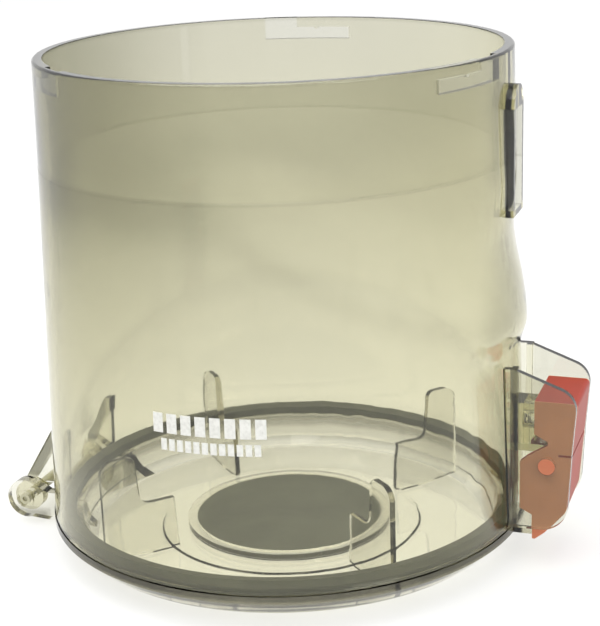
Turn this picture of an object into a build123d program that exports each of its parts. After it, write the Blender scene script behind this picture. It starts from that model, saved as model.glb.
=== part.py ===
from build123d import *
import math
import os

os.makedirs("parts", exist_ok=True)

# Frame: millimetres, +Z up, z = 0 under the lid floor, hinge on -X, latch on +X

# Bin wall
RIM_R = 80.0
BAND_FLARE = 0.8
CONE_FLARE = 3.8
BODY_Z = 13.2
RIM_Z = 173.0
BAND_H = 35.6
RIM_WALL = 3.4
WALL = 2.6
STEP_IN = 0.3
STEP_OUT = 0.06
BAND_ROOT = 2.0
RIM_ROUND = 1.0
STEP_R = RIM_R + BAND_FLARE
BOTTOM_R = STEP_R + CONE_FLARE
BORE_R = RIM_R - RIM_WALL
STEP_Z = RIM_Z - BAND_H

# Sections of the lower wall: levels, and points around each
WALL_LEVELS = 30
WALL_POINTS = 60

# Bayonet grooves inside the rim, three of them
SLOT_COUNT = 3
SLOT_FIRST = 112.0
SLOT_DEPTH = 1.8
SLOT_DROP = 3.6
SLOT_H = 4.4
SLOT_SPAN = 24.0
SLOT_ENTRY = 9.0
DETENT_R = 0.8
DETENT_AT = 14.5

# Inlet port above the latch
PORT_W = 11.0
PORT_H = 33.0
PORT_LIP = 2.0
PORT_PROUD = 3.0
PORT_DROP = 18.5

# Guide swell under the inlet: azimuth, height above the wall, then low edge, crest and top edge below the rim
SWELL = [
    (-95.0, 0.0, 58.0, 52.0, 45.0),
    (-75.0, 0.3, 66.0, 57.0, 47.0),
    (-55.0, 1.0, 78.0, 67.0, 51.0),
    (-35.0, 1.7, 90.0, 79.0, 56.0),
    (-15.0, 2.2, 99.0, 88.0, 60.0),
    (5.0, 2.5, 102.0, 92.0, 66.0),
    (20.0, 2.1, 101.0, 91.0, 68.0),
    (35.0, 0.8, 97.0, 87.0, 70.0),
    (50.0, 0.0, 92.0, 84.0, 72.0),
]

# Shallow dent between the swell and the inlet
DENT_AT = 8.0
DENT_SPREAD = 36.0
DENT_DROP = 60.0
DENT_REACH = 18.0
DENT_DEEP = 1.5

# Fits
PART_GAP = 0.4
RUN_FIT = 0.06
CUT_OVER = 1.0

# Latch housing on the wall
CHEEK_T = 2.4
CHEEK_LOW = 1.1
CHEEK_H = 56.2
CHEEK_OUT = 21.1
CHEEK_FALL = 8.0
CHEEK_LEAN = 1.6
CHEEK_TAPER = 3.0
CHEEK_ROUND_LOW = 9.5
CHEEK_ROUND_TOP = 7.5
ROOT_IN = 6.0
BACK_PROUD = 0.3
BAR_OUT = 1.1
BAR_W = 2.0
BAR_T = 1.6
LEVER_W = 25.2
TRUNNION_OUT = 11.2
TRUNNION_UP = 24.0
TRUNNION_R = 2.8

# Return spring and its seat
SEAT_OUT = 5.4
SEAT_W = 10.0
SEAT_H = 17.0
SEAT_DOWN = 10.5
SEAT_FOOT = 3.6
SEAT_FOOT_H = 3.2
SPRING_UP = 11.8
SPRING_R = 2.5
SPRING_WIRE = 0.7
SPRING_TURNS = 7
SEAT_FLOOR = 1.0

# Lever
LEVER_WALL = 2.2
LEVER_TOP = 22.2
LEVER_OUT = 9.7
LEVER_IN = 4.5
LEVER_TAPER = 3.2
LEVER_KNEE = 16.4
LEVER_ROUND_TOP = 1.6
LEVER_ROUND_LOW = 4.0
NOTCH_TOP = 10.6
NOTCH_LOW = 6.8
NOTCH_END = 2.6
ARM_IN = 9.2
ARM_TOP = 0.4
ARM_LOW = 16.3
HOOK_DROP = 27.7
HOOK_T = 9.2
HOOK_TIP = 2.6
HOOK_CLEAR = 0.45
GRIP_UP = 3.6
GRIP_DEEP = 0.6
GRIP_H = 0.8

# Hinge
HINGE_REACH = 9.4
HINGE_Z = 9.5
PIN_R = 2.0
PIN_DIMPLE = 1.0
KNUCKLE_R = 5.6
GUSSET_Y = 17.8
GUSSET_T = 3.8
GUSSET_WEB = 1.8
GUSSET_H = 22.0
GUSSET_BAR = 3.0
LUG_R = 7.2
LUG_T = 4.5
LUG_BOSS_R = 3.4
LUG_BOSS_T = 0.6
LUG_FOOT = 1.0
LUG_RUN = 3.0

# Lid
FLOOR_T = 2.2
DISH_W = 14.4
DISH_KNEE = 2.6
DISH_RISE = 3.6
FLANGE_T = 4.8
FLANGE_PROUD = 0.3
FLANGE_BEVEL = 2.2
RIDGE_T = 2.2
RIDGE_H = 0.8
DISC_R = 34.0
DISC_T = 2.4
COLLAR_T = 3.3
COLLAR_H = 2.9
LAND_W = 9.2
LAND_H = 0.6
CATCH_OUT = 5.7
CATCH_W = 18.0
CATCH_T = 3.4

# Lid fins
FIN_COUNT = 4
FIN_FIRST = 46.8
FIN_T = 2.0
FIN_GAP = 3.15
FIN_LAP = 2.0
FIN_TAB_W = 13.5
FIN_LEAN = 1.5
FIN_LOW_H = 19.0
FIN_TALL_H = 37.0
FIN_ROUND = 5.0
FIN_ROUND_TOP = 2.5
FIN_ROUND_STEP = 4.0

# Seal
SEAL_W = 4.7
SEAL_H = 4.4
SEAL_GAP = 0.45
RUBBER_FIT = 0.12

# Shared places
HINGE_X = BOTTOM_R + HINGE_REACH
LID_TOP = BODY_Z - PART_GAP
FLANGE_R = BOTTOM_R + FLANGE_PROUD
BACK_X = BOTTOM_R + BACK_PROUD
PIVOT_X = BACK_X + TRUNNION_OUT
PIVOT_Z = BODY_Z + TRUNNION_UP
CHEEK_Y = LEVER_W / 2 + PART_GAP
ROOT_X = BOTTOM_R - ROOT_IN
PAD_X = RIM_R + PORT_PROUD
SEAL_OUT = BOTTOM_R - WALL - SEAL_GAP
RIDGE_R = SEAL_OUT - SEAL_W
RIDGE_IN = RIDGE_R - RIDGE_T
FLOOR_R = BOTTOM_R - DISH_W
COLLAR_R = DISC_R + COLLAR_T
LAND_R = COLLAR_R + LAND_W
FIN_IN = LAND_R - FIN_LAP
FIN_OUT = RIDGE_IN - FIN_GAP
FIN_STEP = FIN_OUT - FIN_TAB_W
SPRING_Z = PIVOT_Z + SPRING_UP
LUG_Y = GUSSET_Y + GUSSET_T + PART_GAP


def wall_r(z):
    """Outer radius of the bin wall at height z."""
    if z >= STEP_Z:
        return RIM_R + (STEP_R - RIM_R) * (RIM_Z - z) / BAND_H
    return STEP_R + (BOTTOM_R - STEP_R) * (STEP_Z - z) / (STEP_Z - BODY_Z)


def revolved(points):
    """Solid of revolution about Z from (radius, height) points."""
    return revolve(make_face(Plane.XZ * Polyline(*points, close=True)), Axis.Z)


def sector(r0, r1, z0, z1, start, span):
    """Part of a ring from azimuth start over span degrees."""
    points = [(r0, z0), (r1, z0), (r1, z1), (r0, z1)]
    face = make_face(Plane.XZ * Polyline(*points, close=True))
    return Rot(0, 0, start) * revolve(face, Axis.Z, revolution_arc=span)


def plate(points, rounds, y0, y1):
    """Plate in the XZ plane from y0 to y1; rounds maps a point's index to its corner radius."""
    face = make_face(Plane.XZ * Polyline(*points, close=True))
    for index, radius in rounds.items():
        x, z = points[index]
        corner = face.vertices().sort_by_distance(Vector(x, 0, z))[0]
        face = fillet(corner, radius)
    return Pos(0, y0, 0) * extrude(face, y1 - y0, dir=(0, 1, 0))


def block(x0, x1, y0, y1, z0, z1):
    """Box between two corners."""
    box = Box(x1 - x0, y1 - y0, z1 - z0)
    return Pos((x0 + x1) / 2, (y0 + y1) / 2, (z0 + z1) / 2) * box


def rod_y(x, z, radius, y0, y1):
    """Round rod along Y."""
    rod = Cylinder(radius, y1 - y0, rotation=(90, 0, 0))
    return Pos(x, (y0 + y1) / 2, z) * rod


def rod_x(z, radius, x0, x1):
    """Round rod along X in the middle plane."""
    rod = Cylinder(radius, x1 - x0, rotation=(0, 90, 0))
    return Pos((x0 + x1) / 2, 0, z) * rod


def arch(width, height, x0, x1, z0):
    """Arch-topped block along X, standing on z0."""
    side = height - width / 2
    post = block(x0, x1, -width / 2, width / 2, z0, z0 + side)
    return post + rod_x(z0 + side, width / 2, x0, x1)


def ease(t):
    """Smooth rise from 0 to 1, level at both ends."""
    t = max(0.0, min(1.0, t))
    return t * t * (3.0 - 2.0 * t)


def bump(azimuth, z):
    """How far the lower wall stands out of its cone: the guide swell less the dent above it."""
    drop = RIM_Z - z
    lift = 0.0
    for near, far in zip(SWELL, SWELL[1:]):
        if near[0] <= azimuth < far[0]:
            share = (azimuth - near[0]) / (far[0] - near[0])
            rise, low, crest, top = (a + (b - a) * share for a, b in zip(near[1:], far[1:]))
            lift = rise * min(ease((low - drop) / (low - crest)), ease((drop - top) / (crest - top)))
    side = ease(1.0 - abs(azimuth - DENT_AT) / DENT_SPREAD)
    return lift - DENT_DEEP * side * ease(1.0 - abs(drop - DENT_DROP) / DENT_REACH)


def wall_loft(r0, r1, z0, z1):
    """Filled lower wall: radius r0 at z0 to r1 at z1, with the swell and the dent."""
    sections = []
    for level in range(WALL_LEVELS + 1):
        share = level / WALL_LEVELS
        z = z0 + (z1 - z0) * share
        points = []
        for k in range(WALL_POINTS):
            azimuth = 360.0 * k / WALL_POINTS - 180.0
            r = r0 + (r1 - r0) * share + bump(azimuth, z)
            a = math.radians(azimuth)
            points.append((r * math.cos(a), r * math.sin(a), z))
        sections.append(make_face(Spline(*points, periodic=True)))
    return loft(sections)


# Bin body: the filled outer shape first, the rim band above the lower wall
band_r = STEP_R - STEP_OUT
band_z = STEP_Z - BAND_ROOT
band_points = [(0, band_z), (band_r, band_z), (band_r, STEP_Z), (RIM_R, RIM_Z), (0, RIM_Z)]
band = revolved(band_points)
rim_edge = band.edges().filter_by(GeomType.CIRCLE).sort_by(Axis.Z)[-1]
band = fillet(rim_edge, RIM_ROUND)
body = wall_loft(BOTTOM_R, STEP_R, BODY_Z, STEP_Z) + band

# Inlet pad
port_z = RIM_Z - PORT_DROP - PORT_H
pad_w = PORT_W + 2 * PORT_LIP
pad_z = port_z - PORT_LIP
pad_h = PORT_H + PORT_LIP + pad_w / 2
body += arch(pad_w, pad_h, BORE_R, PAD_X, pad_z)

# Latch housing: two cheeks, each with a bar at its root, and the spring seat with its foot
cheek_z = BODY_Z + CHEEK_LOW
cheek_top = cheek_z + CHEEK_H
cheek_y1 = CHEEK_Y + CHEEK_T
cheek_x = BACK_X + CHEEK_OUT
cheek_points = [
    (ROOT_X, cheek_z),
    (cheek_x - CHEEK_TAPER, cheek_z),
    (cheek_x - CHEEK_LEAN, (cheek_z + cheek_top) / 2),
    (cheek_x, cheek_top - CHEEK_FALL),
    (BACK_X, cheek_top),
    (ROOT_X, cheek_top),
]
bar_x = BACK_X + BAR_OUT
for y in (-cheek_y1, CHEEK_Y):
    body += plate(cheek_points, {1: CHEEK_ROUND_LOW, 3: CHEEK_ROUND_TOP}, y, y + CHEEK_T)
    bar_y = y - BAR_T if y > 0 else y
    body += block(bar_x - BAR_W, bar_x, bar_y, bar_y + CHEEK_T + BAR_T, cheek_z, cheek_top)
seat_x = BACK_X + SEAT_OUT
seat_z = SPRING_Z - SEAT_DOWN
body += block(ROOT_X, seat_x, -SEAT_W / 2, SEAT_W / 2, seat_z, seat_z + SEAT_H)
body += block(ROOT_X, seat_x + SEAT_FOOT, -SEAT_W / 2, SEAT_W / 2, seat_z, seat_z + SEAT_FOOT_H)

# Hinge gussets: thin web, thicker sloping bar, and an eye for the pin
gusset_top = BODY_Z + GUSSET_H
web_in = -ROOT_X
web_low = BODY_Z + CHEEK_LOW
eye_side = -(HINGE_X - KNUCKLE_R)
bar_points = [
    (web_in, gusset_top),
    (-wall_r(gusset_top), gusset_top),
    (-(HINGE_X + KNUCKLE_R), HINGE_Z),
    (-(HINGE_X + KNUCKLE_R - GUSSET_BAR), HINGE_Z),
    (-wall_r(gusset_top) + GUSSET_BAR / 2, gusset_top - 1.8 * GUSSET_BAR),
    (web_in, gusset_top - 1.8 * GUSSET_BAR),
]
web_points = [
    (web_in, gusset_top - GUSSET_BAR),
    (-wall_r(gusset_top), gusset_top - GUSSET_BAR),
    (-(HINGE_X + KNUCKLE_R - 1.0), HINGE_Z),
    (-HINGE_X, HINGE_Z),
    (eye_side, web_low),
    (web_in, web_low),
]
for side in (-1, 1):
    y0 = min(side * GUSSET_Y, side * (GUSSET_Y + GUSSET_T))
    web_y = side * (GUSSET_Y + GUSSET_T / 2) - GUSSET_WEB / 2
    body += plate(bar_points, {}, y0, y0 + GUSSET_T)
    body += plate(web_points, {}, web_y, web_y + GUSSET_WEB)
    body += rod_y(-HINGE_X, HINGE_Z, KNUCKLE_R, y0, y0 + GUSSET_T)

# Hollow the body: lower wall, rim bore and inlet
body -= wall_loft(BOTTOM_R - WALL, BORE_R + STEP_IN, BODY_Z - CUT_OVER, STEP_Z)
body -= Pos(0, 0, (band_z + RIM_Z + CUT_OVER) / 2) * Cylinder(BORE_R, RIM_Z + CUT_OVER - band_z)
body -= block(BORE_R - PORT_W, PAD_X + CUT_OVER, -PORT_W / 2, PORT_W / 2, port_z, port_z + PORT_H)

# Bayonet grooves and their detents
slot_r = BORE_R + SLOT_DEPTH
slot_z1 = RIM_Z - SLOT_DROP
slot_z0 = slot_z1 - SLOT_H
for k in range(SLOT_COUNT):
    entry = SLOT_FIRST + k * 360 / SLOT_COUNT
    body -= sector(BORE_R - CUT_OVER, slot_r, slot_z0, slot_z1, entry - SLOT_SPAN, SLOT_SPAN)
    body -= sector(BORE_R - CUT_OVER, slot_r, slot_z0, RIM_Z + CUT_OVER, entry - SLOT_ENTRY, SLOT_ENTRY)
    detent = Pos(BORE_R + SLOT_DEPTH / 2, 0, slot_z1) * Cylinder(DETENT_R, SLOT_DEPTH, rotation=(0, 90, 0))
    body += Rot(0, 0, entry - DETENT_AT) * detent

# Bores of the body: trunnions, hinge pin and the spring pocket
body -= rod_y(PIVOT_X, PIVOT_Z, TRUNNION_R + RUN_FIT, -cheek_y1 - 1, cheek_y1 + 1)
body -= rod_y(-HINGE_X, HINGE_Z, PIN_R + RUN_FIT, -LUG_Y, LUG_Y)
pocket_x = BACK_X + SEAT_FLOOR
pocket_r = SPRING_R + SPRING_WIRE
body -= rod_x(SPRING_Z, pocket_r, pocket_x, seat_x + CUT_OVER)

# Lid: flange, dished floor, ridge and collar in one revolve
flange_z = LID_TOP - FLANGE_T
dish_r = FLANGE_R - FLANGE_BEVEL
lid_points = [
    (0, 0),
    (FLOOR_R, 0),
    (dish_r - 5.0, 0.45 * flange_z),
    (dish_r, flange_z),
    (FLANGE_R, flange_z + FLANGE_BEVEL),
    (FLANGE_R, LID_TOP),
    (RIDGE_R, LID_TOP),
    (RIDGE_R, LID_TOP + RIDGE_H),
    (RIDGE_IN, LID_TOP + RIDGE_H),
    (RIDGE_IN, LID_TOP - 1.0),
    (FLOOR_R + DISH_KNEE, FLOOR_T + DISH_RISE),
    (FLOOR_R, FLOOR_T),
    (LAND_R + LAND_H, FLOOR_T),
    (LAND_R, FLOOR_T + LAND_H),
    (COLLAR_R, FLOOR_T + LAND_H),
    (COLLAR_R, FLOOR_T + COLLAR_H),
    (DISC_R, FLOOR_T + COLLAR_H),
    (DISC_R, FLOOR_T),
    (0, FLOOR_T),
]
lid = revolved(lid_points)

# Lid fins
fin_points = [
    (FIN_IN, FLOOR_T / 2),
    (FIN_OUT, FLOOR_T / 2 + 3.0),
    (FIN_OUT, FLOOR_T + FIN_TALL_H),
    (FIN_STEP + FIN_LEAN, FLOOR_T + FIN_TALL_H),
    (FIN_STEP, FLOOR_T + FIN_LOW_H),
    (FIN_IN + 1.0, FLOOR_T + FIN_LOW_H),
]
step_round = min(FIN_ROUND_STEP, 0.4 * (FIN_STEP - FIN_IN))
for k in range(FIN_COUNT):
    fin = plate(fin_points, {2: FIN_ROUND, 3: FIN_ROUND_TOP, 4: step_round}, -FIN_T / 2, FIN_T / 2)
    lid += Rot(0, 0, FIN_FIRST + k * 360 / FIN_COUNT) * fin

# Lid hinge lugs with raised bosses, and the catch tab
lug_points = [
    (-(RIDGE_R + 1.0), LID_TOP),
    (-(BOTTOM_R + PART_GAP), LID_TOP),
    (-(HINGE_X - 3.0), HINGE_Z + LUG_R - 0.8),
    (-HINGE_X, HINGE_Z),
    (-(HINGE_X - 2.0), HINGE_Z - LUG_R + 0.3),
    (-(FLOOR_R - LUG_RUN), LUG_FOOT),
]
for side in (-1, 1):
    y0 = min(side * LUG_Y, side * (LUG_Y + LUG_T))
    boss_y = min(side * (LUG_Y + LUG_T), side * (LUG_Y + LUG_T + LUG_BOSS_T))
    lid += plate(lug_points, {}, y0, y0 + LUG_T)
    lid += rod_y(-HINGE_X, HINGE_Z, LUG_R, y0, y0 + LUG_T)
    lid += rod_y(-HINGE_X, HINGE_Z, LUG_BOSS_R, boss_y, boss_y + LUG_BOSS_T)
pin_end = LUG_Y + LUG_T + LUG_BOSS_T
lid -= rod_y(-HINGE_X, HINGE_Z, PIN_R, -pin_end - 1, pin_end + 1)
catch_x = BACK_X + CATCH_OUT
lid += block(BOTTOM_R - 4, catch_x, -CATCH_W / 2, CATCH_W / 2, LID_TOP - CATCH_T, LID_TOP)

# Rubber pieces on the lid
seal_in = RIDGE_R + RUBBER_FIT
seal_low = LID_TOP + RUBBER_FIT
seal_points = [
    (seal_in, seal_low),
    (SEAL_OUT - 0.3, seal_low),
    (SEAL_OUT, LID_TOP + 0.4 * SEAL_H),
    (SEAL_OUT - 0.6, LID_TOP + SEAL_H),
    (seal_in, LID_TOP + SEAL_H - 0.8),
]
seal = revolved(seal_points)
disc = Pos(0, 0, FLOOR_T + RUBBER_FIT + DISC_T / 2) * Cylinder(DISC_R - RUBBER_FIT, DISC_T)

# Hinge pin with a dimple in each end
pin = rod_y(-HINGE_X, HINGE_Z, PIN_R, -pin_end, pin_end)
for side in (-1, 1):
    y = side * pin_end
    pin -= rod_y(-HINGE_X, HINGE_Z, PIN_DIMPLE, y - 0.8, y + 0.8)

# Lever: a shell open towards the bin, with hook and trunnions
lever_top = PIVOT_Z + LEVER_TOP
face_x = PIVOT_X + LEVER_OUT
back_x = PIVOT_X - LEVER_IN
hook_x = catch_x + HOOK_CLEAR
hook_z = PIVOT_Z - HOOK_DROP
knee_x = face_x - LEVER_TAPER
knee_z = PIVOT_Z - LEVER_KNEE
arm_x = PIVOT_X - ARM_IN
arm_z = PIVOT_Z - ARM_LOW
hook_top = hook_z + HOOK_T
lever_points = [
    (back_x, lever_top),
    (face_x, lever_top),
    (knee_x, knee_z),
    (hook_x + HOOK_TIP + 1.6, hook_z + HOOK_TIP),
    (hook_x + 1.0, hook_z),
    (hook_x, hook_z),
    (hook_x, hook_top),
    (arm_x, arm_z),
    (arm_x, PIVOT_Z + ARM_TOP),
    (arm_x + NOTCH_END, PIVOT_Z + NOTCH_END),
    (PIVOT_X, PIVOT_Z + NOTCH_LOW),
    (PIVOT_X, PIVOT_Z + NOTCH_LOW + 1.4),
    (back_x, PIVOT_Z + NOTCH_TOP),
]
half = LEVER_W / 2
lever = plate(lever_points, {1: LEVER_ROUND_TOP, 2: LEVER_ROUND_LOW}, -half, half)
pocket_low = hook_top + LEVER_WALL
pocket_points = [
    (arm_x - CUT_OVER, lever_top - LEVER_WALL),
    (face_x - LEVER_WALL, lever_top - LEVER_WALL),
    (knee_x - LEVER_WALL, knee_z),
    (knee_x - LEVER_WALL - 2.4, pocket_low),
    (arm_x - CUT_OVER, pocket_low),
]
inner = half - LEVER_WALL
lever -= plate(pocket_points, {1: LEVER_ROUND_TOP}, -inner, inner)
grip_z = PIVOT_Z + GRIP_UP
grip_x = face_x - LEVER_TAPER * (lever_top - grip_z) / (lever_top - knee_z) - GRIP_DEEP
grip_z0 = grip_z - GRIP_H / 2
grip_z1 = grip_z + GRIP_H / 2
lever -= block(grip_x, face_x + CUT_OVER, -half - CUT_OVER, half + CUT_OVER, grip_z0, grip_z1)
side_x = PIVOT_X + TRUNNION_R + GRIP_H
for y in (-half - CUT_OVER, half - GRIP_DEEP):
    lever -= block(side_x, face_x + CUT_OVER, y, y + GRIP_DEEP + CUT_OVER, grip_z0, grip_z1)
for y0, y1 in ((-cheek_y1, -half + 0.5), (half - 0.5, cheek_y1)):
    lever += rod_y(PIVOT_X, PIVOT_Z, TRUNNION_R, y0, y1)

# Return spring between the seat's pocket and the lever's face wall
spring_x0 = pocket_x + SPRING_WIRE / 2 + 0.05
spring_lean = LEVER_TAPER * (lever_top - SPRING_Z + SPRING_R) / (lever_top - knee_z)
spring_x1 = face_x - spring_lean - LEVER_WALL - SPRING_WIRE / 2 - 0.15
spring_len = spring_x1 - spring_x0
coil = Helix(spring_len / SPRING_TURNS, spring_len, SPRING_R)
wire = Plane(coil @ 0, z_dir=coil % 0) * Circle(SPRING_WIRE / 2)
spring = sweep(wire, path=coil)
spring = Pos(spring_x0, 0, SPRING_Z) * Rot(0, 90, 0) * spring

export_step(body, "parts/bin_body.step")
export_step(lid, "parts/base_lid.step")
export_step(seal, "parts/lid_seal.step")
export_step(disc, "parts/centre_seal.step")
export_step(pin, "parts/hinge_pin.step")
export_step(lever, "parts/latch_lever.step")
export_step(spring, "parts/latch_spring.step")
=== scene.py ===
import math

import bpy
from mathutils import Matrix, Vector


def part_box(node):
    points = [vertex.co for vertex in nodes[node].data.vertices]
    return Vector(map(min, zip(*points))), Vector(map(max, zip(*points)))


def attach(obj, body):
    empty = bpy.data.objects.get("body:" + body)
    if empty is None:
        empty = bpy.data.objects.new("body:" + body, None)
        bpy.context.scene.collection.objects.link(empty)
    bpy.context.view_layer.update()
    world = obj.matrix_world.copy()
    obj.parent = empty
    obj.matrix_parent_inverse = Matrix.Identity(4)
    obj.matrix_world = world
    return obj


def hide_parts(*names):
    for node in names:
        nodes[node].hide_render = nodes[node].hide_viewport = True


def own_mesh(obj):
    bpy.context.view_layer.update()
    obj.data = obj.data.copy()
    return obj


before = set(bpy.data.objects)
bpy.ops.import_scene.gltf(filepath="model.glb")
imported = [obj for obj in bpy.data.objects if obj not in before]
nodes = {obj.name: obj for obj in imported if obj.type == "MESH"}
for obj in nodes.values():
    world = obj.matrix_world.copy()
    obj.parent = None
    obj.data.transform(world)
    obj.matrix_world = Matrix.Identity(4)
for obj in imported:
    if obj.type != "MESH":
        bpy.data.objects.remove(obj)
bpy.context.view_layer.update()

# Camera place and aim, found from the rim, the step line and the lower edge in the photograph
CAMERA_TURN = math.radians(20.0)
CAMERA_DISTANCE = 0.530
CAMERA_HEIGHT = 0.2449
CAMERA_YAW = 0.011
CAMERA_PITCH = 0.303
CAMERA_ROLL = 0.035
FOCAL_PIXELS = 1580.6
PICTURE_WIDTH = 600
SENSOR = 36.0

# Height of the fine step line round the wall, and the slanting lower edge of the guide swell, in metres
STEP_LINE = 0.1374
SWELL_SLOPE = 0.6
SWELL_LEVEL = 0.1325

# Clear plastic: refraction, share of the haze in its tone, and the colour and density of its tint
PLASTIC_IOR = 1.49
HAZE_SHARE = 0.05
WALL_TINT = (0.64, 0.60, 0.24)
WALL_DENSITY = 130.0
LID_TINT = (0.65, 0.62, 0.44)
LID_DENSITY = 90.0

# Rubber, lever, pin and spring colours; the lever is bare red, with painted light that makes its sides paler and
# duller
RUBBER_DARK = (0.084, 0.088, 0.070)
RUBBER_LIGHT = (0.119, 0.124, 0.100)
RED_DARK = (0.31, 0.028, 0.012)
RED_LIGHT = (0.38, 0.039, 0.018)
SIDE_GLARE_DARK = (0.56, 0.248, 0.138)
SIDE_GLARE_LIGHT = (0.64, 0.294, 0.168)
PIN_DARK = (0.40, 0.385, 0.265)
PIN_LIGHT = (0.47, 0.455, 0.325)
STEEL_DARK = (0.5, 0.5, 0.5)
STEEL_LIGHT = (0.625, 0.625, 0.625)

# Printing ink: its colours, thickness in metres, how much of that its middle lies off the wall, and the share of a
# row's length that the dashes fill
INK_THIN = (0.56, 0.56, 0.52)
INK_FULL = (0.69, 0.69, 0.65)
INK_THICKNESS = 0.00006
INK_PROUD = 0.8
DASH_FILL = 0.72

# The lower wall as a cone: radius at its lower edge, that edge's height, and how much it narrows per metre
WALL_LOW_R = 0.0846
WALL_LOW_Z = 0.0132
WALL_SLOPE = 0.0038 / 0.1242

# Return spring: wire diameter, turns, pitch of a closed turn in wires, and points per turn and round the wire; the
# place of its fixed end and how far the lever presses it come from the spring's part
SPRING_WIRE = 0.0007
SPRING_TURNS = 7
SPRING_CLOSED = 1.05
SPRING_POINTS = 24
WIRE_POINTS = 10

# Floor: half its width, how far it lies under the lid, its colour, and the share of light that passes through it
FLOOR_HALF = 8.0
FLOOR_DROP = 0.0006
FLOOR_WHITE = (0.93, 0.93, 0.925, 1.0)
FLOOR_CLEAR = 0.6

# Light: colour of the surround, and the power of the two soft boxes in watts
SURROUND_WHITE = (1.0, 1.0, 0.995, 1.0)
OVERHEAD_POWER = 14.0
SIDE_POWER = 4.0


class Sock:
    """One node socket with arithmetic that adds Math nodes."""

    def __init__(self, tree, socket):
        self.tree = tree
        self.socket = socket

    def math(self, operation, *others):
        node = self.tree.nodes.new("ShaderNodeMath")
        node.operation = operation
        for slot, value in zip(node.inputs, (self,) + others):
            put(self.tree, slot, value)
        return Sock(self.tree, node.outputs[0])

    def __add__(self, other):
        return self.math("ADD", other)

    __radd__ = __add__

    def __sub__(self, other):
        return self.math("SUBTRACT", other)

    def __rsub__(self, other):
        return (self * -1.0) + other

    def __mul__(self, other):
        return self.math("MULTIPLY", other)

    __rmul__ = __mul__

    def __truediv__(self, other):
        return self.math("DIVIDE", other)

    def __pow__(self, other):
        return self.math("POWER", other)


def put(tree, slot, value):
    """Links a Sock to a node input, or sets a plain value on it."""
    if isinstance(value, Sock):
        tree.links.new(value.socket, slot)
    else:
        slot.default_value = value


class Builder:
    """A node tree being built: adds nodes and hands back their outputs."""

    def node(self, kind, settings=None, output=0, **values):
        made = self.tree.nodes.new(kind)
        for key, value in (settings or {}).items():
            setattr(made, key, value)
        for key, value in values.items():
            put(self.tree, made.inputs[key.replace("_", " ")], value)
        return Sock(self.tree, made.outputs[output])

    def split(self, vector):
        """The x, y and z of a vector."""
        parts = self.tree.nodes.new("ShaderNodeSeparateXYZ")
        put(self.tree, parts.inputs[0], vector)
        return [Sock(self.tree, out) for out in parts.outputs]


class Finish(Builder):
    """A material being built."""

    def __init__(self, name):
        self.mat = bpy.data.materials.new(name)
        self.mat.use_nodes = True
        self.tree = self.mat.node_tree
        self.tree.nodes.clear()
        self.out = self.tree.nodes.new("ShaderNodeOutputMaterial")

    def object_coords(self):
        return self.node("ShaderNodeTexCoord", output="Object")

    def noise(self, scale, detail=2.0, roughness=0.5):
        return self.node(
            "ShaderNodeTexNoise", Vector=self.object_coords(), Scale=scale, Detail=detail, Roughness=roughness
        )

    def ramp(self, value, stops):
        made = self.tree.nodes.new("ShaderNodeValToRGB")
        elements = made.color_ramp.elements
        while len(elements) < len(stops):
            elements.new(0.5)
        for element, (place, colour) in zip(elements, stops):
            element.position = place
            element.color = (*colour, 1.0)
        put(self.tree, made.inputs[0], value)
        return Sock(self.tree, made.outputs[0])

    def bump(self, height, strength, distance):
        return self.node("ShaderNodeBump", Height=height, Strength=strength, Distance=distance)

    def surface(self, **values):
        shader = self.node("ShaderNodeBsdfPrincipled", **values)
        self.tree.links.new(shader.socket, self.out.inputs["Surface"])
        return self

    def lamp_glass(self, pass_colour, **values):
        """Glass that lamps shine through, as they do through thin clear plastic."""
        glass = self.node("ShaderNodeBsdfPrincipled", Transmission_Weight=1.0, **values)
        clear = self.node("ShaderNodeBsdfTransparent", Color=(*pass_colour, 1.0))
        return self.blend(self.node("ShaderNodeLightPath", output="Is Shadow Ray"), glass, clear)

    def blend(self, share, first, second):
        """Surface that goes from the first shader to the second as the share grows."""
        mix = self.tree.nodes.new("ShaderNodeMixShader")
        put(self.tree, mix.inputs[0], share)
        put(self.tree, mix.inputs[1], first)
        put(self.tree, mix.inputs[2], second)
        self.tree.links.new(mix.outputs[0], self.out.inputs["Surface"])
        return self

    def place(self):
        """The x, y and z of each point of the piece, in metres."""
        return self.split(self.object_coords())

    def smooth(self, value, low, high):
        """Smooth step from 0 at low to 1 at high. Where low is the larger one, the step falls as the value grows."""
        made = self.tree.nodes.new("ShaderNodeMapRange")
        made.interpolation_type = "SMOOTHSTEP"
        put(self.tree, made.inputs["Value"], value)
        made.inputs["From Min"].default_value = low
        made.inputs["From Max"].default_value = high
        return Sock(self.tree, made.outputs["Result"])

    def shade(self, value):
        """Grey-olive transmission colour for a clearness value between 0 and 1."""
        return self.ramp(value, [(0.0, (0.0, 0.0, 0.0)), (0.5, (0.505, 0.505, 0.47)), (1.0, (1.0, 1.0, 0.985))])

    def tint(self, colour, density):
        body = self.node("ShaderNodeVolumeAbsorption", Color=(*colour, 1.0), Density=density)
        self.tree.links.new(body.socket, self.out.inputs["Volume"])
        return self


def painted_wall_shade(f, x, y, z, at_pad):
    """Painted shade that deepens to the rim and the hinge side, and where the wall turns away there."""
    hinge_side = f.smooth(x, 0.03, -0.085)
    latch_side = f.smooth(x, 0.02, 0.075)
    open_rear = f.smooth(y, -0.01, 0.05) * f.smooth(z, 0.115, 0.14)
    rising_shade = f.smooth(z, 0.0, 0.165) * (hinge_side * 0.12 + 0.24)
    rising_shade = rising_shade * (1.0 - open_rear * 0.4) * (1.0 - latch_side * 0.25) * (1.0 - at_pad)
    turn = f.smooth(x, -0.045, -0.083) * (f.smooth(z, 0.075, 0.13) * 0.13 + 0.05)
    front_turn = f.smooth(x, -0.034, -0.054) * f.smooth(y, -0.02, -0.05)
    return rising_shade + turn + front_turn * f.smooth(z, 0.100, 0.135) * 0.19


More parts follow.
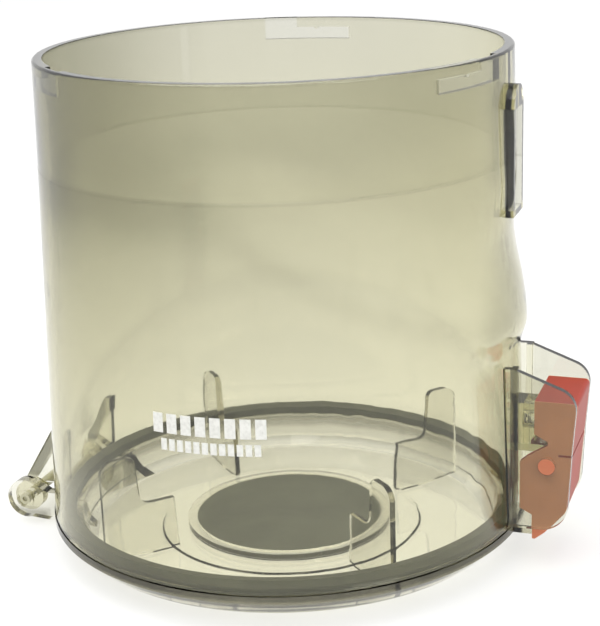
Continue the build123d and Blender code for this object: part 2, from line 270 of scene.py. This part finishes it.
def painted_wall_patches(f, x, y, z, over, front, at_pad):
    """Soft painted shade under and over the step line on the front and beside the inlet pad, with a band of painted
    light over the step line.
    """
    shade_under_line = f.smooth(z, 0.118, 0.134) * (1.0 - over) * f.smooth(x, 0.022, -0.005) * 0.13
    shade_band = f.smooth(z, 0.142, 0.160) * f.smooth(x, 0.025, 0.060) * 0.10
    band_middle = f.smooth(x, -0.012, 0.012) * f.smooth(x, 0.045, 0.025)
    painted_light_band = f.smooth(z, 0.156, 0.146) * over * band_middle * 0.07
    pad_edge_shade = f.smooth(x, 0.0765, 0.0795) * f.smooth(y, -0.004, -0.010)
    pad_edge_shade = pad_edge_shade * f.smooth(z, 0.128, 0.136) * 0.25
    return ((shade_under_line + shade_band - painted_light_band) * front + pad_edge_shade) * (1.0 - at_pad)


def painted_swell_shading(f, x, y, z, front):
    """Painted shade along the soft edge of the guide swell, painted light on its body above that edge, and painted
    shade at its end on the latch side.
    """
    edge = z + x * SWELL_SLOPE - SWELL_LEVEL
    dark = f.smooth(edge, -0.009, 0.0) * f.smooth(edge, 0.006, 0.0) * 0.055
    light = f.smooth(edge, 0.002, 0.010) * f.smooth(edge, 0.040, 0.025) * 0.05
    end = f.smooth(x, 0.0760, 0.0815) * f.smooth(y, 0.010, 0.0)
    end = end * f.smooth(z, 0.1175, 0.1105) * f.smooth(z, 0.076, 0.090) * 0.30
    return (dark - light) * f.smooth(x, 0.0, 0.03) * front + end


def painted_thick_shade(f, x, y, z, over):
    """Painted shade on the thick places: upper band, step line, rim, hinge gussets, latch cheeks and inlet pad."""
    side = y.math("ABSOLUTE")
    band = over * 0.03
    line = (1.0 - f.smooth((z - STEP_LINE).math("ABSOLUTE"), 0.0, 0.0005)) * 0.14
    rim = f.smooth(z, 0.1712, 0.1724) * 0.12
    into_gusset = x * 0.852 - z * 0.524 + 0.08984
    gusset = f.smooth(into_gusset, 0.0040, 0.0030) * f.smooth(x, -0.0835, -0.0842)
    gusset = gusset * f.smooth(z, 0.0155, 0.0165) * 0.6
    root = f.smooth(x, 0.0836, 0.0840) * f.smooth(x, 0.0864, 0.0860) * f.smooth(y, -0.0112, -0.0116)
    cheek = f.smooth(x, 0.0860, 0.0864) * f.smooth(side, 0.0125, 0.0128)
    latch = (root * 0.7 + cheek * 0.12) * f.smooth(z, 0.0735, 0.0715)
    pad = f.smooth(x, 0.0806, 0.0812) * f.smooth(y, 0.0030, 0.0045) * f.smooth(z, 0.112, 0.116) * 0.2
    return band + line + rim + gusset + latch + pad


def clear_wall(name):
    """Clear wall moulding: tinted through its thickness, with painted light and shade in soft tones, faint flow
    waves and handling haze.
    """
    f = Finish(name)
    x, y, z = f.place()
    haze = f.noise(22.0, 3.0)
    waves = f.noise(9.0, 1.0)
    front = f.smooth(y, 0.0, -0.02)
    over = f.smooth(z, STEP_LINE - 0.0003, STEP_LINE + 0.0003)
    at_pad = f.smooth(x, 0.0808, 0.0816) * f.smooth(z, 0.112, 0.116)
    # Painted light and shade: the summed tone masks darken or lighten the wall's transmission colour
    tone = painted_wall_shade(f, x, y, z, at_pad) + painted_wall_patches(f, x, y, z, over, front, at_pad)
    tone = tone + painted_swell_shading(f, x, y, z, front) + painted_thick_shade(f, x, y, z, over)
    f.lamp_glass(
        (0.97, 0.97, 0.94),
        Base_Color=f.shade(1.0 - tone + (haze - 0.5) * HAZE_SHARE),
        Roughness=haze * 0.04 + 0.01,
        IOR=PLASTIC_IOR,
        Normal=f.bump(waves, 0.06, 0.002),
    )
    return f.tint(WALL_TINT, WALL_DENSITY).mat


def clear_lid(name):
    """Clear lid moulding: bright floor, with painted shade that fills the fins and darkens the thick flange, the
    band under it and the hinge lug.
    """
    f = Finish(name)
    x, y, z = f.place()
    haze = f.noise(24.0, 3.0)
    waves = f.noise(12.0, 1.0)
    reach = (x * x + y * y) ** 0.5
    # Painted shade on the flange, under it, on the fins and on the hinge lug
    flange = f.smooth(reach, 0.0805, 0.0825) * f.smooth(reach, 0.0858, 0.0852)
    flange = flange * (f.smooth(z, 0.0100, 0.0115) * 0.22 + 0.74)
    under = f.smooth(reach, 0.0745, 0.0775) * f.smooth(reach, 0.0825, 0.0805)
    under = under * f.smooth(z, 0.0085, 0.0075) * 0.35
    low_fin = f.smooth(reach, 0.040, 0.042) * f.smooth(reach, 0.0702, 0.0698) * f.smooth(z, 0.0030, 0.0036)
    fins = low_fin.math("MAXIMUM", f.smooth(z, 0.0155, 0.0165)) * 0.13
    lug = f.smooth(x, -0.0850, -0.0862) * f.smooth(z, 0.0062, 0.0045) * 0.45
    tone = flange + under + fins + lug
    f.lamp_glass(
        (0.985, 0.985, 0.96),
        Base_Color=f.shade(1.0 - tone + (haze - 0.5) * HAZE_SHARE),
        Roughness=haze * 0.04 + 0.015,
        IOR=PLASTIC_IOR,
        Normal=f.bump(waves, 0.05, 0.002),
    )
    return f.tint(LID_TINT, LID_DENSITY).mat


def rubber(name):
    """Dull moulded rubber with fine grain and pale dust in patches."""
    f = Finish(name)
    dust = f.noise(60.0, 4.0, 0.6)
    grain = f.noise(420.0, 2.0)
    f.surface(
        Base_Color=f.ramp(dust, [(0.35, RUBBER_DARK), (0.75, RUBBER_LIGHT)]),
        Roughness=dust * 0.25 + 0.5,
        Normal=f.bump(grain, 0.02, 0.0002),
        Specular_IOR_Level=0.35,
    )
    return f.mat


def red_plastic(name):
    """Satin moulded plastic with a fine spark texture, and painted light that makes the two sides beside the cheeks
    and the trunnion ends paler and duller.
    """
    f = Finish(name)
    _, y, z = f.place()
    patch = f.noise(70.0, 3.0)
    spark = f.noise(600.0, 2.0)
    side = y.math("ABSOLUTE")
    flank = f.smooth(side, 0.0121, 0.0125) * f.smooth(side, 0.0130, 0.0128)
    trunnion = f.smooth(side, 0.0130, 0.0133)
    # Painted light: paler, duller colour on the sides beside the cheeks and on the trunnion ends
    side_glare = flank * (f.smooth(z, 0.0132, 0.0148) * 0.4 + 0.6) + trunnion * 0.6
    tones = [(0.10, RED_DARK), (0.22, RED_LIGHT), (0.80, SIDE_GLARE_DARK), (0.92, SIDE_GLARE_LIGHT)]
    f.surface(
        Base_Color=f.ramp(patch * 0.3 + side_glare * 0.7, tones),
        Roughness=patch * 0.12 + 0.34,
        Normal=f.bump(spark, 0.06, 0.0001),
        Specular_IOR_Level=0.2,
    )
    return f.mat


def natural_plastic(name):
    """Satin uncoloured plastic with faint clouding."""
    f = Finish(name)
    cloud = f.noise(300.0, 3.0)
    f.surface(
        Base_Color=f.ramp(cloud, [(0.3, PIN_DARK), (0.7, PIN_LIGHT)]),
        Roughness=cloud * 0.15 + 0.3,
        Normal=f.bump(cloud, 0.04, 0.0001),
    )
    return f.mat


def steel(name):
    """Drawn steel with lengthwise scratches."""
    f = Finish(name)
    stretched = f.node("ShaderNodeMapping", Vector=f.object_coords(), Scale=(4000.0, 60.0, 4000.0))
    scratch = f.node("ShaderNodeTexNoise", Vector=stretched, Scale=1.0, Detail=2.0)
    f.surface(
        Base_Color=f.ramp(scratch, [(0.3, STEEL_DARK), (0.7, STEEL_LIGHT)]),
        Metallic=1.0,
        Roughness=scratch * 0.2 + 0.22,
        Normal=f.bump(scratch, 0.15, 0.0001),
    )
    return f.mat


def wear(node, material):
    """Gives a CAD node one material."""
    slots = nodes[node].data.materials
    slots.clear()
    slots.append(material)


seal_rubber = rubber("seal_rubber")
wear("bin_body", clear_wall("smoky_wall"))
wear("base_lid", clear_lid("smoky_lid"))
wear("lid_seal", seal_rubber)
wear("centre_seal", seal_rubber)
wear("hinge_pin", natural_plastic("pin_plastic"))
wear("latch_lever", red_plastic("lever_red"))
spring_finish = steel("spring_steel")
wear("latch_spring", spring_finish)


class Maker(Builder):
    """A Geometry Nodes tree being built, with named inputs for its sizes."""

    def __init__(self, name):
        self.tree = bpy.data.node_groups.new(name, "GeometryNodeTree")
        self.tree.interface.new_socket("Geometry", in_out="OUTPUT", socket_type="NodeSocketGeometry")
        self.out = self.tree.nodes.new("NodeGroupOutput")
        self.inlet = self.tree.nodes.new("NodeGroupInput")
        self.sizes = {}

    def size(self, name, value):
        """Adds a named input, sets its value and hands back its socket."""
        kind = "NodeSocketInt" if isinstance(value, int) else "NodeSocketFloat"
        item = self.tree.interface.new_socket(name, in_out="INPUT", socket_type=kind)
        self.sizes[item.identifier] = value
        return Sock(self.tree, self.inlet.outputs[item.identifier])

    def xyz(self, x, y, z):
        return self.node("ShaderNodeCombineXYZ", X=x, Y=y, Z=z)

    def mesh(self, name, geometry, material):
        """Runs the tree and hands back its result as a plain mesh object."""
        solid = self.node("GeometryNodeRealizeInstances", Geometry=geometry)
        painted = self.node("GeometryNodeSetMaterial", Geometry=solid, Material=material)
        self.tree.links.new(painted.socket, self.out.inputs[0])
        obj = bpy.data.objects.new(name, bpy.data.meshes.new(name))
        bpy.context.collection.objects.link(obj)
        modifier = obj.modifiers.new("maker", "NODES")
        modifier.node_group = self.tree
        for key, value in self.sizes.items():
            modifier[key] = value
        made = bpy.data.meshes.new_from_object(obj.evaluated_get(bpy.context.evaluated_depsgraph_get()))
        obj.modifiers.clear()
        obj.data = made
        made.name = name
        return obj


def white_ink(name):
    """Matt white printing ink, a little thin in places."""
    f = Finish(name)
    cover = f.noise(900.0, 3.0)
    f.surface(
        Base_Color=f.ramp(cover, [(0.25, INK_THIN), (0.6, INK_FULL)]),
        Roughness=cover * 0.2 + 0.45,
        Normal=f.bump(cover, 0.1, 0.0001),
    )
    return f.mat


def dash_row(name, count, start, span, low, high, ink):
    """One row of plain printed dashes that follows the wall."""
    m = Maker(name)
    columns = m.size("Columns", count)
    begin = m.size("Start Azimuth", math.radians(start))
    turn = m.size("Span", math.radians(span))
    level = m.size("Level", (low + high) / 2)
    tall = m.size("Dash Height", high - low)
    fill = m.size("Fill", DASH_FILL)
    thick = m.size("Thickness", INK_THICKNESS)
    wall_low = m.size("Wall Radius", WALL_LOW_R)
    slope = m.size("Wall Slope", WALL_SLOPE)
    pitch = turn * wall_low / columns
    dash = m.node(
        "GeometryNodeMeshCube",
        Size=m.xyz(pitch * fill, thick, tall),
        Vertices_X=8,
        Vertices_Y=2,
        Vertices_Z=4,
    )
    line = m.node("GeometryNodeMeshLine", Count=columns, Offset=m.xyz(pitch, 0.0, 0.0))
    row = m.node("GeometryNodeInstanceOnPoints", Points=line, Instance=dash)
    flat = m.node("GeometryNodeRealizeInstances", Geometry=row)
    x, y, z = m.split(m.node("GeometryNodeInputPosition"))
    z = z + level
    radius = wall_low - (z - WALL_LOW_Z) * slope + y + thick * INK_PROUD
    angle = begin + (x + pitch * 0.5) / wall_low
    around = m.xyz(radius * angle.math("COSINE"), radius * angle.math("SINE"), z)
    bent = m.node("GeometryNodeSetPosition", Geometry=flat, Position=around)
    outward = m.node("GeometryNodeFlipFaces", Mesh=bent)
    piece = m.mesh(name, outward, ink)
    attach(piece, "bin")


def wound_spring(name, finish):
    """Return spring of round wire with a closed turn at each end, pressed together by the lever."""
    low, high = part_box("latch_spring")
    m = Maker(name)
    wire = m.size("Wire Diameter", SPRING_WIRE)
    turns = m.size("Turns", float(SPRING_TURNS))
    begin = m.size("First End", low[0] + SPRING_WIRE / 2)
    length = m.size("Length", high[0] - low[0] - SPRING_WIRE)
    radius = m.size("Coil Radius", (high[2] - low[2] - SPRING_WIRE) / 2)
    level = m.size("Level", (high[2] + low[2]) / 2)
    straight = m.node("GeometryNodeCurvePrimitiveLine")
    path = m.node("GeometryNodeResampleCurve", Curve=straight, Count=SPRING_TURNS * SPRING_POINTS + 1)
    wound = m.node("GeometryNodeSplineParameter", output="Factor") * turns
    closed = wire * SPRING_CLOSED
    pitch = (length - closed * 2.0) / (turns - 2.0)
    first = wound.math("MINIMUM", 1.0) * closed
    middle = (wound - 1.0).math("MAXIMUM", 0.0).math("MINIMUM", turns - 2.0) * pitch
    last = (wound - turns + 1.0).math("MAXIMUM", 0.0) * closed
    angle = wound * math.tau
    along = begin + first + middle + last
    place = m.xyz(along, radius * angle.math("COSINE"), level + radius * angle.math("SINE"))
    coil = m.node("GeometryNodeSetPosition", Geometry=path, Position=place)
    section = m.node("GeometryNodeCurvePrimitiveCircle", Resolution=WIRE_POINTS, Radius=wire * 0.5)
    rod = m.node("GeometryNodeCurveToMesh", Curve=coil, Profile_Curve=section, Fill_Caps=True)
    piece = m.mesh(name, m.node("GeometryNodeSetShadeSmooth", Geometry=rod), finish)
    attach(piece, "bin")
    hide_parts("latch_spring")
    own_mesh(piece)


ink = white_ink("print_white")
dash_row("print_row_upper", 8, -100.5, 26.5, 0.0652, 0.0716, ink)
dash_row("print_row_lower", 12, -98.5, 23.0, 0.0596, 0.0634, ink)
wound_spring("return_spring", spring_finish)


def floor_plane():
    """Pale studio floor of frosted sheet, which still shows the lid when it hangs open below it."""
    mesh = bpy.data.meshes.new("studio_floor")
    corners = [(-1, -1), (1, -1), (1, 1), (-1, 1)]
    mesh.from_pydata([(x * FLOOR_HALF, y * FLOOR_HALF, -FLOOR_DROP) for x, y in corners], [], [(0, 1, 2, 3)])
    floor = bpy.data.objects.new("studio_floor", mesh)
    bpy.context.collection.objects.link(floor)
    f = Finish("floor_sheet")
    white = f.node("ShaderNodeBsdfPrincipled", Base_Color=FLOOR_WHITE, Roughness=0.9, Specular_IOR_Level=0.0)
    f.blend(FLOOR_CLEAR, white, f.node("ShaderNodeBsdfTransparent"))
    mesh.materials.append(f.mat)


def soft_box(name, place, aim, size, power):
    """Rectangular soft light aimed at a point."""
    lamp = bpy.data.lights.new(name, "AREA")
    lamp.shape = "RECTANGLE"
    lamp.size, lamp.size_y = size
    lamp.energy = power
    obj = bpy.data.objects.new(name, lamp)
    obj.location = place
    obj.rotation_euler = (Vector(aim) - Vector(place)).to_track_quat("-Z", "Y").to_euler()
    bpy.context.collection.objects.link(obj)


def studio():
    """White surround and two soft boxes."""
    world = bpy.data.worlds.new("studio")
    world.use_nodes = True
    surround = world.node_tree.nodes["Background"]
    surround.inputs["Color"].default_value = SURROUND_WHITE
    surround.inputs["Strength"].default_value = 1.0
    bpy.context.scene.world = world
    soft_box("overhead", (-0.15, -0.35, 1.35), (0, 0, 0.05), (1.3, 1.3), OVERHEAD_POWER)
    soft_box("side", (1.1, -0.7, 0.9), (0, 0, 0.06), (0.6, 0.9), SIDE_POWER)
    bpy.context.scene.view_settings.view_transform = "Standard"


def photo_camera():
    """Camera at the photograph's place."""
    cy, sy = math.cos(CAMERA_YAW), math.sin(CAMERA_YAW)
    cp, sp = math.cos(CAMERA_PITCH), math.sin(CAMERA_PITCH)
    cr, sr = math.cos(CAMERA_ROLL), math.sin(CAMERA_ROLL)
    forward = Vector((sy * cp, cy * cp, -sp))
    level = Vector((cy, -sy, 0.0))
    drop = forward.cross(level)
    right = cr * level + sr * drop
    down = -sr * level + cr * drop
    turn = Matrix.Rotation(CAMERA_TURN, 3, "Z")
    axes = Matrix((turn @ right, turn @ -down, turn @ -forward)).transposed()
    data = bpy.data.cameras.new("photo_camera")
    data.sensor_fit = "HORIZONTAL"
    data.sensor_width = SENSOR
    data.lens = FOCAL_PIXELS * SENSOR / PICTURE_WIDTH
    data.clip_start = 0.01
    data.clip_end = 50.0
    cam = bpy.data.objects.new("photo_camera", data)
    place = turn @ Vector((0.0, -CAMERA_DISTANCE, CAMERA_HEIGHT))
    cam.matrix_world = Matrix.Translation(place) @ axes.to_4x4()
    bpy.context.collection.objects.link(cam)
    bpy.context.scene.camera = cam


floor_plane()
studio()
photo_camera()
